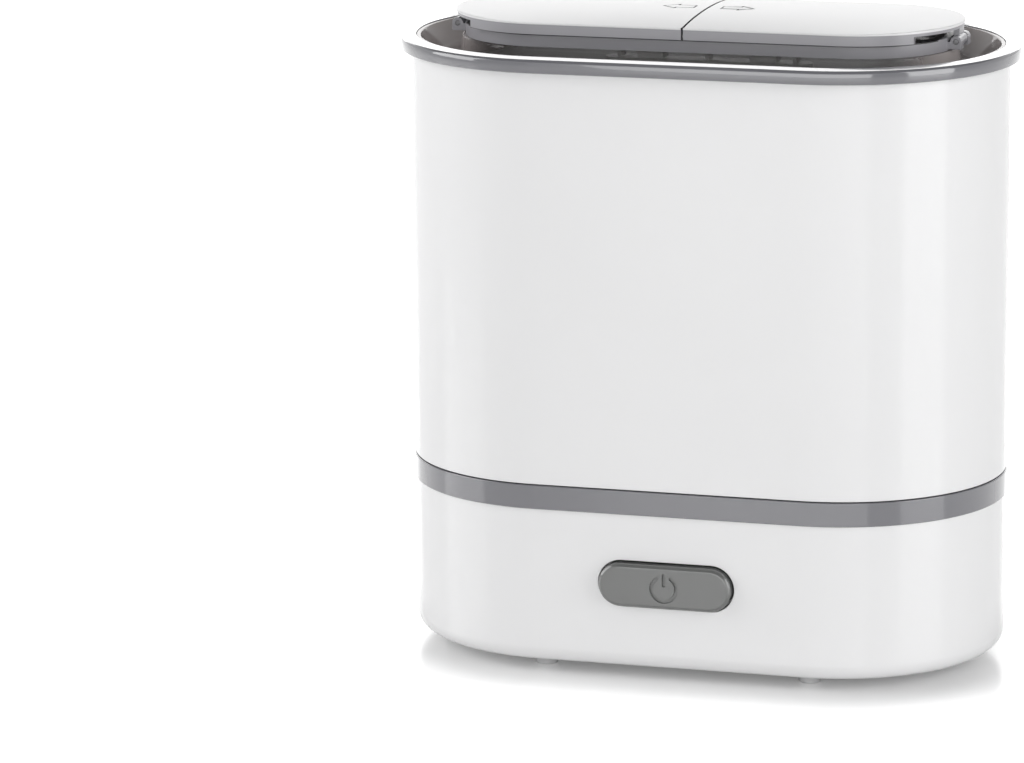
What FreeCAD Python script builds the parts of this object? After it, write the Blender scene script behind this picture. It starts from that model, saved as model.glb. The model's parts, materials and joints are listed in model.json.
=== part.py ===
import FreeCAD, Part
import math
import os

# Electric steam sterilizer for baby bottles: an oblong white tub stands on a heated base and is
# closed by a lid with two flaps. X runs along the long side, -Y is the front, and Z is up.
# The origin is on the floor, under the middle of the base. All sizes are in millimetres.

Vector = FreeCAD.Vector
os.makedirs("parts", exist_ok=True)

# Overall plan and heights
body_length = 232.0
body_width = 129.2
foot_height = 3.6
cover_edge_height = 0.8
base_height = 60.5
band_height = 9.3
tub_height = 158.0
rim_height = 5.6
rest_gap = 0.3

# Cutting shapes run this far past what they cut, and joined shapes reach this far into each other
overrun = 1.0

# An edge counts as lying at a level when it is this near to it
edge_margin = 0.001

# Clearances on the radius: glued or pressed, turning, and loose round a screw or a head
tight_fit = 0.03
turning_fit = 0.06
loose_fit = 0.3

# Base housing
base_inset = 0.4
base_wall = 2.5
base_bottom_radius = 6.5
deck_thickness = 2.5
base_opening_inset = 13.0
band_proud = 0.5
band_wall = 6.5
lip_height = 4.8
lip_clearance = 0.5
lip_edge_radius = 1.0

# Tub
tub_wall = 2.2
ledge_height_in_tub = 8.5
ledge_width = 6.8
ledge_thickness = 2.4

# Lid
rim_overhang = 4.0
rim_top_width = 6.0
rim_edge_radius = 1.2
tray_wall = 1.6
tray_fit = 0.05
tray_depth = 10.4
tray_top_drop = 0.4
tray_draft = 3.45
tray_floor_radius = 2.0
plateau_drop = 0.8
plateau_shoulder = 1.1
plateau_draft = 1.3
plateau_mouth_gap = 0.2
seal_clearance = 0.3
seal_width = 1.0
seal_height = 2.2

# Collar and flaps
flap_end_gap = 17.5
flap_side_gap = 24.6
collar_inset = 3.2
collar_height = 4.9
collar_wall = 5.3
skirt_height = 4.0
skirt_wall = 2.0
skirt_ledge = 4.0
skirt_ledge_thickness = 1.0
bridge_height = 2.2
crown_rise = 2.7
crown_radius = 400.0
crown_edge_radius = 0.4
cap_overhang = 0.2
split_gap = 0.8
notch_length = 12.3
notch_height = 2.8

# Flap hinges
pin_radius = 1.0
pin_reach = 2.4
pin_drop = 1.5
knuckle_radius = 2.0
knuckle_half_width = 4.0
arm_overlap = 1.8
arm_end_gap = 0.3
arm_top_gap = 0.2
lug_gap = 0.3
lug_width = 4.0
lug_radius = 2.2
lug_overlap = 1.2
lug_lift = 0.6

# Power button
button_length = 52.5
button_height = 17.4
button_centre = 38.0
button_gap = 0.35
button_proud = 3.4
button_depth = 9.6
button_edge_radius = 1.6
button_side_wall = 1.8
button_face_wall = 2.2
button_flange = 1.2
button_flange_thickness = 1.2
button_stem_radius = 3.5
button_guide_wall = 1.6
button_guide_depth = 2.2
button_travel = 1.8
symbol_drop = 0.5
symbol_radius = 4.85
symbol_groove = 1.3
symbol_depth = 0.5
symbol_gap_angle = 60.0
symbol_bar_low = 0.9
symbol_bar_high = 6.1

# Heating plate, and the element, thermostat and fuse under it
dish_flange_gap = 2.6
dish_flange_width = 8.0
dish_wall = 1.2
dish_depth = 8.0
dish_corner_radius = 4.0
dish_gap = 0.6
gasket_thickness = 1.0
gasket_inset = 0.5
element_inset = 14.0
element_radius = 3.2
element_open_angle = 60.0
element_leg = 8.0
terminal_radius = 1.2
terminal_length = 7.0
thermostat_radius = 8.5
thermostat_height = 8.0
thermostat_ears = (28.0, 8.0, 1.0)
thermostat_blades = (6.2, 0.8, 8.0)
blade_place = 4.5
fuse_radius = 2.2
fuse_length = 14.0
fuse_tail_radius = 0.5
fuse_tail_length = 7.0

# Electronics
board_length = 84.0
board_thickness = 1.6
board_behind_wall = 14.0
board_floor_gap = 10.3
board_deck_gap = 8.4
board_screw_radius = 1.1
board_screw_length = 7.0
board_screw_head = (2.4, 1.8)
standoff_radius = 3.0
standoff_spread = 38.5
standoff_low_inset = 5.0
standoff_high_inset = 6.0
switch_size = 12.0
switch_depth = 6.8
actuator_radius = 3.0
actuator_length = 4.6
actuator_clearance = 0.1
actuator_bore_depth = 4.2
relay_size = (15.0, 19.0, 16.0)
relay_left = -35.5
relay_lift = 2.0
relay_chamfer = 0.6

# Mains inlet, in the back of the base
inlet_place = 22.0
inlet_height = 24.0
inlet_flange = (34.0, 18.0)
inlet_flange_thickness = 1.5
inlet_edge_radius = 0.8
inlet_body = (21.0, 13.0)
inlet_clearance = 0.2
inlet_socket = (16.0, 8.4)
inlet_depth = 16.0
socket_depth = 12.0
contact_radius = 1.15
contact_pitch = 8.6
contact_reach = 9.0
contact_tail = 5.0
contact_tip_radius = 0.6
lead_radius = 1.1
sleeve_wall = 1.2
sleeve_length = 6.0

# Bottom cover, feet and screws
cover_thickness = 2.0
cover_rib = 1.8
cover_rib_height = 1.8
cover_edge_inset = 11.0
foot_radius = 4.3
foot_recess = 0.8
foot_clearance = 0.1
foot_chamfer = 0.6
foot_end_shift = 0.6
foot_edge_gap = 2.2
screw_inset = 10.2
screw_angle = 46.0
screw_radius = 1.4
screw_length = 16.0
screw_head_radius = 3.0
screw_head_height = 2.5
screw_head_edge = 0.6
screw_cross = (4.0, 0.8, 1.2)
screw_pad_wall = 2.5
screw_pad_height = 3.1
boss_radius = 4.0
vent_count = 7
vent_pitch = 7.0
vent_length = 34.0
vent_width = 2.4
vent_place = 28.0

# Bottle rack
rack_clearance = 1.0
rack_thickness = 2.2
well_wall = 1.6
well_height = 10.0
well_edge_gap = 3.6
well_row_gap = 4.4
well_end_gap = 1.6
well_end_angle = 62.9
drain_radius = 3.0
drain_ring = 15.0
drain_count = 6
post_radius = 4.0
post_place = 34.5
socket_wall = 2.5
socket_height = 12.0
handle_drop = 13.0
handle_height = 9.0
handle_side_wall = 0.5
handle_end = 6.0
handle_edge_radius = 1.5
grip_low = 17.0
grip_high = 27.2
grip_height = 4.0
grip_inset = 0.2
grip_edge_radius = 0.8
fin_thickness = 1.4
fin_height = 3.4
fin_inset = 1.0

# Levels
cover_low = foot_height
base_low = cover_low + cover_edge_height
base_top = base_low + base_height
band_top = base_top + band_height
tub_low = band_top + rest_gap
tub_top = tub_low + tub_height
rim_low = tub_top + rest_gap
rim_top = rim_low + rim_height
tray_top = rim_top - tray_top_drop
tray_floor = rim_top - tray_depth - tray_wall
plateau_top = rim_top - plateau_drop
collar_top = plateau_top + collar_height
skirt_low = collar_top + rest_gap
skirt_top = skirt_low + skirt_height
crown_top = skirt_top + crown_rise
deck_low = base_top - deck_thickness
pad_top = cover_low + cover_thickness + screw_pad_height
flange_low = base_top + gasket_thickness
dish_floor = flange_low + dish_wall - dish_depth
dish_low = dish_floor - dish_wall
board_low = base_low + base_wall + board_floor_gap
board_high = deck_low - board_deck_gap
rack_low = tub_low + ledge_height_in_tub + ledge_thickness + rest_gap
rack_top = rack_low + rack_thickness
handle_top = collar_top - handle_drop

# Places along the body, and sizes that follow from what a piece fits into
end_centre = (body_length - body_width) / 2
front_wall = -(body_width / 2 - base_inset)
back_wall = body_width / 2 - base_inset
inside_front = front_wall + base_wall
board_front = inside_front + board_behind_wall
board_back = board_front + board_thickness
button_face = front_wall - button_proud
button_back = button_face + button_depth
actuator_back = board_front - switch_depth + actuator_bore_depth - button_travel - rest_gap
actuator_front = actuator_back - actuator_length
inlet_face = back_wall + inlet_flange_thickness
contact_back = inlet_face - inlet_depth - contact_tail
flap_length = body_length - 2 * flap_end_gap
flap_width = body_width - 2 * flap_side_gap
collar_end = flap_length / 2 - collar_inset
pin_x = collar_end + pin_reach
pin_z = collar_top - pin_drop
hinge_reach = knuckle_half_width + lug_gap + lug_width
dish_flange_radius = body_width / 2 + band_proud - band_wall - dish_flange_gap
dish_radius = dish_flange_radius - dish_flange_width
element_loop_radius = dish_radius - element_inset
fuse_place = (thermostat_radius + element_loop_radius - element_radius) / 2
rack_half_width = body_width / 2 - tub_wall - rack_clearance
well_outer = (rack_half_width - well_edge_gap - well_row_gap / 2) / 2
well_radius = well_outer - well_wall
handle_width = 2 * (post_radius + handle_side_wall)


def oval_wire(length, width, height):
    """Outline with straight long sides and half-round ends."""
    radius = width / 2
    straight = length / 2 - radius
    front_right = Vector(straight, -radius, height)
    right = Vector(straight + radius, 0, height)
    back_right = Vector(straight, radius, height)
    back_left = Vector(-straight, radius, height)
    left = Vector(-straight - radius, 0, height)
    front_left = Vector(-straight, -radius, height)
    return Part.Wire([
        Part.LineSegment(front_left, front_right).toShape(),
        Part.Arc(front_right, right, back_right).toShape(),
        Part.LineSegment(back_right, back_left).toShape(),
        Part.Arc(back_left, left, front_left).toShape(),
    ])


def oval(length, width, low, high):
    """Upright oval block."""
    face = Part.Face(oval_wire(length, width, low))
    return face.extrude(Vector(0, 0, high - low))


def body_oval(offset, low, high):
    """Oval block whose wall stands offset outside the tub's outer wall."""
    return oval(body_length + 2 * offset, body_width + 2 * offset, low, high)


def flap_oval(offset, low, high):
    """Oval block whose wall stands offset outside the flaps' skirt."""
    return oval(flap_length + 2 * offset, flap_width + 2 * offset, low, high)


def tapered_oval(low_size, high_size, low, high):
    """Oval block that changes evenly from one plan size to another."""
    low_wire = oval_wire(low_size[0], low_size[1], low)
    high_wire = oval_wire(high_size[0], high_size[1], high)
    return Part.makeLoft([low_wire, high_wire], True, True)


def grown(length, width, offset):
    return (length + 2 * offset, width + 2 * offset)


def facing_oval(length, height, centre, front, back):
    """Oval block lying with its axis along Y, centred at (x, z)."""
    block = oval(length, height, 0, back - front)
    block.rotate(Vector(0, 0, 0), Vector(1, 0, 0), -90)
    block.translate(Vector(centre[0], front, centre[1]))
    return block


def box(x_range, y_range, z_range):
    size = [pair[1] - pair[0] for pair in (x_range, y_range, z_range)]
    return Part.makeBox(size[0], size[1], size[2], Vector(x_range[0], y_range[0], z_range[0]))


def rod_z(radius, x, y, low, high):
    return Part.makeCylinder(radius, high - low, Vector(x, y, low), Vector(0, 0, 1))


def rod_y(radius, x, z, front, back):
    return Part.makeCylinder(radius, back - front, Vector(x, front, z), Vector(0, 1, 0))


def rod_x(radius, y, z, left, right):
    return Part.makeCylinder(radius, right - left, Vector(left, y, z), Vector(1, 0, 0))


def joined(shapes):
    solid = shapes[0]
    for shape in shapes[1:]:
        solid = solid.fuse(shape)
    return solid.removeSplitter()


def level_edges(shape, height):
    """Edges that lie wholly at one height."""
    picked = []
    for edge in shape.Edges:
        bounds = edge.BoundBox
        if abs(bounds.ZMin - height) < edge_margin and abs(bounds.ZMax - height) < edge_margin:
            picked.append(edge)
    return picked


def facing_edges(shape, y):
    """Edges that lie wholly in one upright plane along X."""
    picked = []
    for edge in shape.Edges:
        bounds = edge.BoundBox
        if abs(bounds.YMin - y) < edge_margin and abs(bounds.YMax - y) < edge_margin:
            picked.append(edge)
    return picked


def save(name, shapes):
    """Write one sub-part, made of one solid or of several like ones."""
    if not isinstance(shapes, list):
        shapes = [shapes]
    solids = []
    for shape in shapes:
        solids.extend(shape.Solids)
    for solid in solids:
        if not solid.isValid():
            raise ValueError("the shape of " + name + " is broken")
    whole = solids[0] if len(solids) == 1 else Part.makeCompound(solids)
    whole.exportStep("parts/" + name + ".step")
    print(name, len(solids), "solid(s)", round(sum(solid.Volume for solid in solids)), "mm3")


def four_corners(x, y):
    return [(side * x, end * y) for side in (-1, 1) for end in (-1, 1)]


def span(middle, width):
    """Range of the given width about a middle."""
    return (middle - width / 2, middle + width / 2)


def outward(end, near, far):
    """Range along X from near to far, on the left (-1) or the right (1)."""
    return tuple(sorted((end * near, end * far)))


def screw_spots():
    """Places of the four screws that hold the bottom cover."""
    ring = body_width / 2 - base_opening_inset - screw_inset
    angle = math.radians(screw_angle)
    return four_corners(end_centre + ring * math.cos(angle), ring * math.sin(angle))


def board_spots():
    """Places (x, z) of the four screws that hold the control board."""
    rows = (board_low + standoff_low_inset, board_high - standoff_high_inset)
    return [(side * standoff_spread, row) for side in (-1, 1) for row in rows]


# Base housing: one white shell with a rounded bottom edge and a deck that carries the heating plate
def make_base_housing():
    outer = body_oval(-base_inset, base_low, base_top)
    outer = outer.makeFillet(base_bottom_radius, level_edges(outer, base_low))
    room_low = base_low + base_wall
    room = body_oval(-base_inset - base_wall, room_low, deck_low)
    room = room.makeFillet(base_bottom_radius - base_wall, level_edges(room, room_low))
    opening = body_oval(-base_opening_inset, base_low - overrun, room_low + overrun)
    dish_hole = rod_z(dish_radius + dish_wall + dish_gap, 0, 0, deck_low - overrun, base_top + overrun)
    hole_size = grown(button_length, button_height, button_gap)
    guide_size = grown(hole_size[0], hole_size[1], button_guide_wall)
    centre = (0, button_centre)
    guide_back = inside_front + button_guide_depth
    guide = facing_oval(guide_size[0], guide_size[1], centre, inside_front - overrun, guide_back)
    bosses = [rod_z(boss_radius, x, y, pad_top, deck_low) for x, y in screw_spots()]
    spots = board_spots()
    standoffs = [rod_y(standoff_radius, x, z, inside_front - overrun, board_front) for x, z in spots]
    housing = joined([outer.cut(room).cut(opening).cut(dish_hole), guide] + bosses + standoffs)
    housing = housing.cut(
        facing_oval(hole_size[0], hole_size[1], centre, front_wall - overrun, guide_back + overrun)
    )
    for x, y in screw_spots():
        bore = rod_z(screw_radius + tight_fit, x, y, pad_top - overrun, pad_top + screw_length)
        housing = housing.cut(bore)
    for x, z in spots:
        deep = board_front - board_screw_length - overrun
        housing = housing.cut(rod_y(board_screw_radius + tight_fit, x, z, deep, board_front + overrun))
    inlet_size = grown(inlet_body[0], inlet_body[1], inlet_clearance)
    inlet_spot = (inlet_place, inlet_height)
    inlet_front = back_wall - base_wall - overrun
    housing = housing.cut(
        facing_oval(inlet_size[0], inlet_size[1], inlet_spot, inlet_front, back_wall + overrun)
    )
    save("base_housing", housing)


# Band: grey ring between the base and the tub, with an upstand that centres the tub
def make_base_band():
    ring = body_oval(band_proud, base_top, band_top)
    lip = body_oval(-tub_wall - lip_clearance, band_top, band_top + lip_height)
    lip = lip.makeFillet(lip_edge_radius, level_edges(lip, band_top + lip_height))
    middle = body_oval(band_proud - band_wall, base_top - overrun, band_top + lip_height + overrun)
    save("base_band", ring.fuse(lip).cut(middle).removeSplitter())


# Bottom cover: a plate let into the underside, with vent slots and sunk screw heads
def make_bottom_cover():
    edge = body_oval(-cover_edge_inset, cover_low, base_low)
    plate_top = cover_low + cover_thickness
    rib_top = plate_top + cover_rib_height
    plug_offset = -base_opening_inset - loose_fit
    plug = body_oval(plug_offset, base_low, rib_top)
    hollow = body_oval(plug_offset - cover_rib, plate_top, rib_top + overrun)
    pad_radius = screw_head_radius + screw_pad_wall
    pads = [rod_z(pad_radius, x, y, cover_low + overrun, pad_top) for x, y in screw_spots()]
    cover = joined([edge.fuse(plug).cut(hollow)] + pads)
    head_room = screw_head_radius + loose_fit
    for x, y in screw_spots():
        cover = cover.cut(rod_z(head_room, x, y, cover_low - overrun, cover_low + screw_head_height))
        cover = cover.cut(rod_z(screw_radius + loose_fit, x, y, cover_low, pad_top + overrun))
    for x, y in foot_spots():
        cup = rod_z(foot_radius + foot_clearance, x, y, cover_low - overrun, cover_low + foot_recess)
        cover = cover.cut(cup)
    first = -vent_pitch * (vent_count - 1) / 2
    for side in (-1, 1):
        for number in range(vent_count):
            slot = oval(vent_length, vent_width, cover_low - overrun, plate_top + overrun)
            slot.translate(Vector(side * vent_place, first + number * vent_pitch, 0))
            cover = cover.cut(slot)
    save("bottom_cover", cover)


def foot_spots():
    """Places of the feet, near the edge of the bottom cover."""
    edge = body_width / 2 - cover_edge_inset
    return four_corners(end_centre + foot_end_shift, edge - foot_edge_gap - foot_radius)


def make_feet():
    feet = []
    for x, y in foot_spots():
        foot = rod_z(foot_radius, x, y, 0, cover_low + foot_recess)
        feet.append(foot.makeChamfer(foot_chamfer, level_edges(foot, 0)))
    save("rubber_feet", feet)


def make_cover_screws():
    screws = []
    shank_low = cover_low + screw_head_height
    length, width, depth = screw_cross
    for x, y in screw_spots():
        head = rod_z(screw_head_radius, x, y, cover_low, shank_low)
        head = head.makeFillet(screw_head_edge, level_edges(head, cover_low))
        screw = head.fuse(rod_z(screw_radius, x, y, shank_low, shank_low + screw_length))
        for turn in (0, 90):
            slot = box(span(0, length), span(0, width), (cover_low - overrun, cover_low + depth))
            slot.rotate(Vector(0, 0, 0), Vector(0, 0, 1), turn)
            slot.translate(Vector(x, y, 0))
            screw = screw.cut(slot)
        screws.append(screw)
    save("cover_screws", screws)


# Heating plate: a pressed steel dish that holds the water, seated on a silicone ring
def make_heating_plate():
    flange_top = flange_low + dish_wall
    outside = rod_z(dish_radius + dish_wall, 0, 0, dish_low, flange_top)
    outside = outside.makeFillet(dish_corner_radius + dish_wall, level_edges(outside, dish_low))
    flange = rod_z(dish_flange_radius, 0, 0, flange_low, flange_top)
    inside = rod_z(dish_radius, 0, 0, dish_floor, flange_top + overrun)
    inside = inside.makeFillet(dish_corner_radius, level_edges(inside, dish_floor))
    save("heating_plate", outside.fuse(flange).removeSplitter().cut(inside))


def make_plate_gasket():
    ring = rod_z(dish_flange_radius - gasket_inset, 0, 0, base_top, flange_low)
    hole_radius = dish_radius + dish_wall + dish_gap + gasket_inset
    save("plate_gasket", ring.cut(rod_z(hole_radius, 0, 0, base_top - overrun, flange_low + overrun)))


def terminal_spots():
    """Places where the two legs of the heating element stand."""
    half = math.radians(element_open_angle / 2)
    x = element_loop_radius * math.sin(half)
    y = -element_loop_radius * math.cos(half)
    return [(-x, y), (x, y)]


# Heating element: a sheathed rod bent to a loop under the dish, its two legs turned down
def make_heating_element():
    level = dish_low - element_radius
    leg_low = level - element_leg
    centre = Vector(0, 0, level)
    up = Vector(0, 0, 1)
    sweep = 360.0 - element_open_angle
    loop = Part.makeTorus(element_loop_radius, element_radius, centre, up, -180, 180, sweep)
    loop.rotate(centre, up, -90 + element_open_angle / 2)
    pieces = [loop]
    for x, y in terminal_spots():
        pieces.append(Part.makeSphere(element_radius, Vector(x, y, level)))
        pieces.append(rod_z(element_radius, x, y, leg_low, level))
        pieces.append(rod_z(terminal_radius, x, y, leg_low - terminal_length, leg_low))
    save("heating_element", joined(pieces))


def make_thermostat():
    low = dish_low - thermostat_height
    can = rod_z(thermostat_radius, 0, 0, low, dish_low)
    length, width, thickness = thermostat_ears
    ears = box(span(0, length), span(0, width), (dish_low - thickness, dish_low))
    blade_width, blade_thickness, blade_length = thermostat_blades
    blades = []
    for x in (-blade_place, blade_place):
        blades.append(box(span(x, blade_width), span(0, blade_thickness), (low - blade_length, low)))
    save("thermostat", joined([can, ears] + blades))


def make_thermal_fuse():
    level = dish_low - fuse_radius
    half = fuse_length / 2
    barrel = rod_x(fuse_radius, fuse_place, level, -half, half)
    tails = rod_x(fuse_tail_radius, fuse_place, level, -half - fuse_tail_length, half + fuse_tail_length)
    save("thermal_fuse", joined([barrel, tails]))


# Control board: stands behind the front wall on four bosses and carries the switch and the relay
def make_control_board():
    board = box(span(0, board_length), (board_front, board_back), (board_low, board_high))
    for x, z in board_spots():
        board = board.cut(rod_y(screw_radius, x, z, board_front - overrun, board_back + overrun))
    save("control_board", board)


def make_board_screws():
    screws = []
    head_radius, head_height = board_screw_head
    for x, z in board_spots():
        shank = rod_y(board_screw_radius, x, z, board_front - board_screw_length, board_back)
        screws.append(rod_y(head_radius, x, z, board_back, board_back + head_height).fuse(shank))
    save("board_screws", screws)


def make_power_switch():
    front = board_front - switch_depth
    case = box(span(0, switch_size), (front, board_front), span(button_centre, switch_size))
    bore_radius = actuator_radius + actuator_clearance
    bore = rod_y(bore_radius, 0, button_centre, front - overrun, front + actuator_bore_depth)
    save("power_switch", case.cut(bore))


def make_relay():
    width, depth, height = relay_size
    low = board_low + relay_lift
    back = board_back + depth
    block = box((relay_left, relay_left + width), (board_back, back), (low, low + height))
    save("relay", block.makeChamfer(relay_chamfer, facing_edges(block, back)))


# Power button: a hollow oval key with an engraved standby sign, kept in by a flange behind the wall
def make_power_button():
    centre = (0, button_centre)
    key = facing_oval(button_length, button_height, centre, button_face, button_back)
    key = key.makeFillet(button_edge_radius, facing_edges(key, button_face))
    flange_size = grown(button_length, button_height, button_flange)
    flange_front = inside_front + button_guide_depth + rest_gap
    flange = facing_oval(
        flange_size[0], flange_size[1], centre, flange_front, flange_front + button_flange_thickness
    )
    face_back = button_face + button_face_wall
    hollow_size = grown(button_length, button_height, -button_side_wall)
    hollow = facing_oval(hollow_size[0], hollow_size[1], centre, face_back, button_back + overrun)
    stem = rod_y(button_stem_radius, 0, button_centre, face_back - overrun, actuator_front)
    key = joined([joined([key, flange]).cut(hollow), stem])
    sign_centre = button_centre - symbol_drop
    front = button_face - overrun
    groove_floor = button_face + symbol_depth
    outer = rod_y(symbol_radius + symbol_groove / 2, 0, sign_centre, front, groove_floor)
    inner = rod_y(symbol_radius - symbol_groove / 2, 0, sign_centre, front, groove_floor)
    reach = 2 * symbol_radius
    half = math.radians(symbol_gap_angle / 2)
    middle = Vector(0, front, sign_centre)
    left = middle + Vector(-reach * math.sin(half), 0, reach * math.cos(half))
    right = middle + Vector(reach * math.sin(half), 0, reach * math.cos(half))
    wedge = Part.Face(Part.makePolygon([middle, left, right, middle]))
    gap = wedge.extrude(Vector(0, groove_floor - front + overrun, 0))
    bar_range = (sign_centre + symbol_bar_low, sign_centre + symbol_bar_high)
    bar = box(span(0, symbol_groove), (front, groove_floor), bar_range)
    save("power_button", key.cut(outer.cut(inner).cut(gap)).cut(bar))


def make_switch_actuator():
    save("switch_actuator", rod_y(actuator_radius, 0, button_centre, actuator_front, actuator_back))


def contact_spots():
    return [inlet_place - contact_pitch / 2, inlet_place + contact_pitch / 2]


# Mains inlet: two-pin socket in the back wall, with its contacts and the leads to the board
def make_mains_inlet():
    centre = (inlet_place, inlet_height)
    flange = facing_oval(inlet_flange[0], inlet_flange[1], centre, back_wall, inlet_face)
    flange = flange.makeFillet(inlet_edge_radius, facing_edges(flange, inlet_face))
    body_front = inlet_face - inlet_depth
    body_back = back_wall + inlet_flange_thickness / 2
    body = facing_oval(inlet_body[0], inlet_body[1], centre, body_front, body_back)
    inlet = joined([flange, body])
    socket = facing_oval(
        inlet_socket[0], inlet_socket[1], centre, inlet_face - socket_depth, inlet_face + overrun
    )
    inlet = inlet.cut(socket)
    for x in contact_spots():
        hole = rod_y(contact_radius + tight_fit, x, inlet_height, body_front - overrun, inlet_face)
        inlet = inlet.cut(hole)
    save("mains_inlet", inlet)


def make_inlet_contacts():
    contacts = []
    tip = inlet_face - socket_depth + contact_reach
    for x in contact_spots():
        pin = rod_y(contact_radius, x, inlet_height, contact_back, tip)
        contacts.append(pin.makeFillet(contact_tip_radius, facing_edges(pin, tip)))
    save("inlet_contacts", contacts)


def make_inlet_leads():
    leads = []
    sleeve_front = contact_back - sleeve_length
    for x in contact_spots():
        sleeve = rod_y(contact_radius + sleeve_wall, x, inlet_height, sleeve_front, contact_back)
        wire = rod_y(lead_radius, x, inlet_height, board_back, sleeve_front)
        leads.append(joined([wire, sleeve]))
    save("inlet_leads", leads)


def make_element_leads():
    leads = []
    middle = dish_low - element_radius - element_leg - terminal_length / 2
    low, high = span(middle, sleeve_length)
    for x, y in terminal_spots():
        sleeve = rod_z(terminal_radius + sleeve_wall, x, y, low, high)
        wire = rod_y(lead_radius, x, middle, board_back, y)
        bore = rod_z(terminal_radius + tight_fit, x, y, low - overrun, high + overrun)
        leads.append(joined([sleeve, wire]).cut(bore))
    save("element_leads", leads)


# Tub: tall white wall, open at the top and bottom, with a ledge inside for the rack
def make_tub():
    wall = body_oval(0, tub_low, tub_top)
    room = body_oval(-tub_wall, tub_low - overrun, tub_top + overrun)
    ledge_low = tub_low + ledge_height_in_tub
    ledge_top = ledge_low + ledge_thickness
    ledge = body_oval(-tub_wall / 2, ledge_low, ledge_top)
    hole = body_oval(-tub_wall - ledge_width, ledge_low - overrun, ledge_top + overrun)
    save("tub", joined([wall.cut(room), ledge.cut(hole)]))


# Lid rim: grey flange that lies on the tub's edge and overhangs it
def make_lid_rim():
    ring = body_oval(rim_overhang, rim_low, rim_top)
    ring = ring.makeFillet(rim_edge_radius, level_edges(ring, rim_top))
    ring = ring.makeFillet(rim_edge_radius / 2, level_edges(ring, rim_low))
    hole = body_oval(rim_overhang - rim_top_width, rim_low - overrun, rim_top + overrun)
    save("lid_rim", ring.cut(hole))


# Lid tray: smoked clear moulding, a trough all round a raised middle with a large opening
def make_lid_tray():
    top_offset = rim_overhang - rim_top_width - tray_fit
    low_offset = top_offset - tray_draft
    low_size = grown(body_length, body_width, low_offset)
    top_size = grown(body_length, body_width, top_offset)
    basin = tapered_oval(low_size, top_size, tray_floor, tray_top)
    basin = basin.makeFillet(tray_floor_radius, level_edges(basin, tray_floor))
    rise = tray_wall * tray_draft / (tray_top - tray_floor)
    room_low = grown(body_length, body_width, low_offset - tray_wall + rise)
    room_top = grown(body_length, body_width, top_offset - tray_wall + rise)
    room = tapered_oval(room_low, room_top, tray_floor + tray_wall, tray_top + tray_wall)
    hill_top = plateau_shoulder - collar_inset
    hill_low = hill_top + plateau_draft
    hill_low_size = grown(flap_length, flap_width, hill_low)
    hill_top_size = grown(flap_length, flap_width, hill_top)
    hill = tapered_oval(hill_low_size, hill_top_size, tray_floor, plateau_top)
    cave_low = grown(flap_length, flap_width, hill_low - tray_wall)
    cave_top = grown(flap_length, flap_width, hill_top - tray_wall)
    cave = tapered_oval(cave_low, cave_top, tray_floor, plateau_top - tray_wall)
    mouth_offset = -collar_inset - collar_wall - plateau_mouth_gap
    mouth = flap_oval(mouth_offset, plateau_top - tray_wall - overrun, plateau_top + overrun)
    save("lid_tray", basin.cut(room).fuse(hill).removeSplitter().cut(cave).cut(mouth))


def make_lid_seal():
    outer_offset = -tub_wall - seal_clearance
    seal_low = rim_low - seal_height
    ring = body_oval(outer_offset, seal_low, rim_low)
    save("lid_seal", ring.cut(body_oval(outer_offset - seal_width, seal_low - overrun, rim_low + overrun)))


# Collar: grey frame round the opening, with a pair of hinge lugs on each end
def make_lid_collar():
    ring = flap_oval(-collar_inset, plateau_top, collar_top)
    hole = flap_oval(-collar_inset - collar_wall, plateau_top - overrun, collar_top + overrun)
    pieces = [ring.cut(hole)]
    for end in (-1, 1):
        x_range = outward(end, collar_end - lug_overlap, pin_x + lug_radius)
        for side in (-1, 1):
            near = side * (knuckle_half_width + lug_gap)
            low, high = sorted((near, near + side * lug_width))
            pieces.append(box(x_range, (low, high), (plateau_top + lug_lift, pin_z)))
            pieces.append(rod_y(lug_radius, end * pin_x, pin_z, low, high))
    collar = joined(pieces)
    reach = hinge_reach + overrun
    for end in (-1, 1):
        collar = collar.cut(rod_y(pin_radius + tight_fit, end * pin_x, pin_z, -reach, reach))
    save("lid_collar", collar)


def make_hinge_pins():
    pins = [rod_y(pin_radius, end * pin_x, pin_z, -hinge_reach, hinge_reach) for end in (-1, 1)]
    save("hinge_pins", pins)


def half_room(end, low, high):
    """Box over one end of the lid, from the edge of the split outwards."""
    return box(outward(end, split_gap / 2, flap_length), (-flap_width, flap_width), (low, high))


# Flaps: each half has a grey skirt with the hinge knuckle, under a white crowned cap
def make_flap_skirt(end):
    ring = flap_oval(0, skirt_low, skirt_top)
    room = flap_oval(-skirt_wall, skirt_low - overrun, skirt_top - skirt_ledge_thickness)
    mouth = flap_oval(-skirt_wall - skirt_ledge, skirt_low - overrun, skirt_top + overrun)
    skirt = ring.cut(room).cut(mouth).common(half_room(end, skirt_low - overrun, skirt_top + overrun))
    inner_wall = outward(end, split_gap / 2, split_gap / 2 + skirt_wall)
    bridge_width = flap_width - skirt_wall
    bridge = box(inner_wall, span(0, bridge_width), (skirt_top - bridge_height, skirt_top))
    notch_x = outward(end, flap_length / 2 - notch_length, flap_length)
    notch = box(notch_x, (-flap_width, flap_width), (skirt_low - overrun, skirt_low + notch_height))
    skirt = joined([skirt, bridge]).cut(notch)
    knuckle_width = 2 * knuckle_half_width
    knuckle = rod_y(knuckle_radius, end * pin_x, pin_z, -knuckle_half_width, knuckle_half_width)
    arm_x = outward(end, pin_x - arm_overlap, flap_length / 2 - arm_end_gap)
    arm = box(arm_x, span(0, knuckle_width), (pin_z, skirt_top - arm_top_gap))
    reach = knuckle_half_width + overrun
    bore = rod_y(pin_radius + turning_fit, end * pin_x, pin_z, -reach, reach)
    return joined([skirt, knuckle, arm]).cut(bore)


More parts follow.
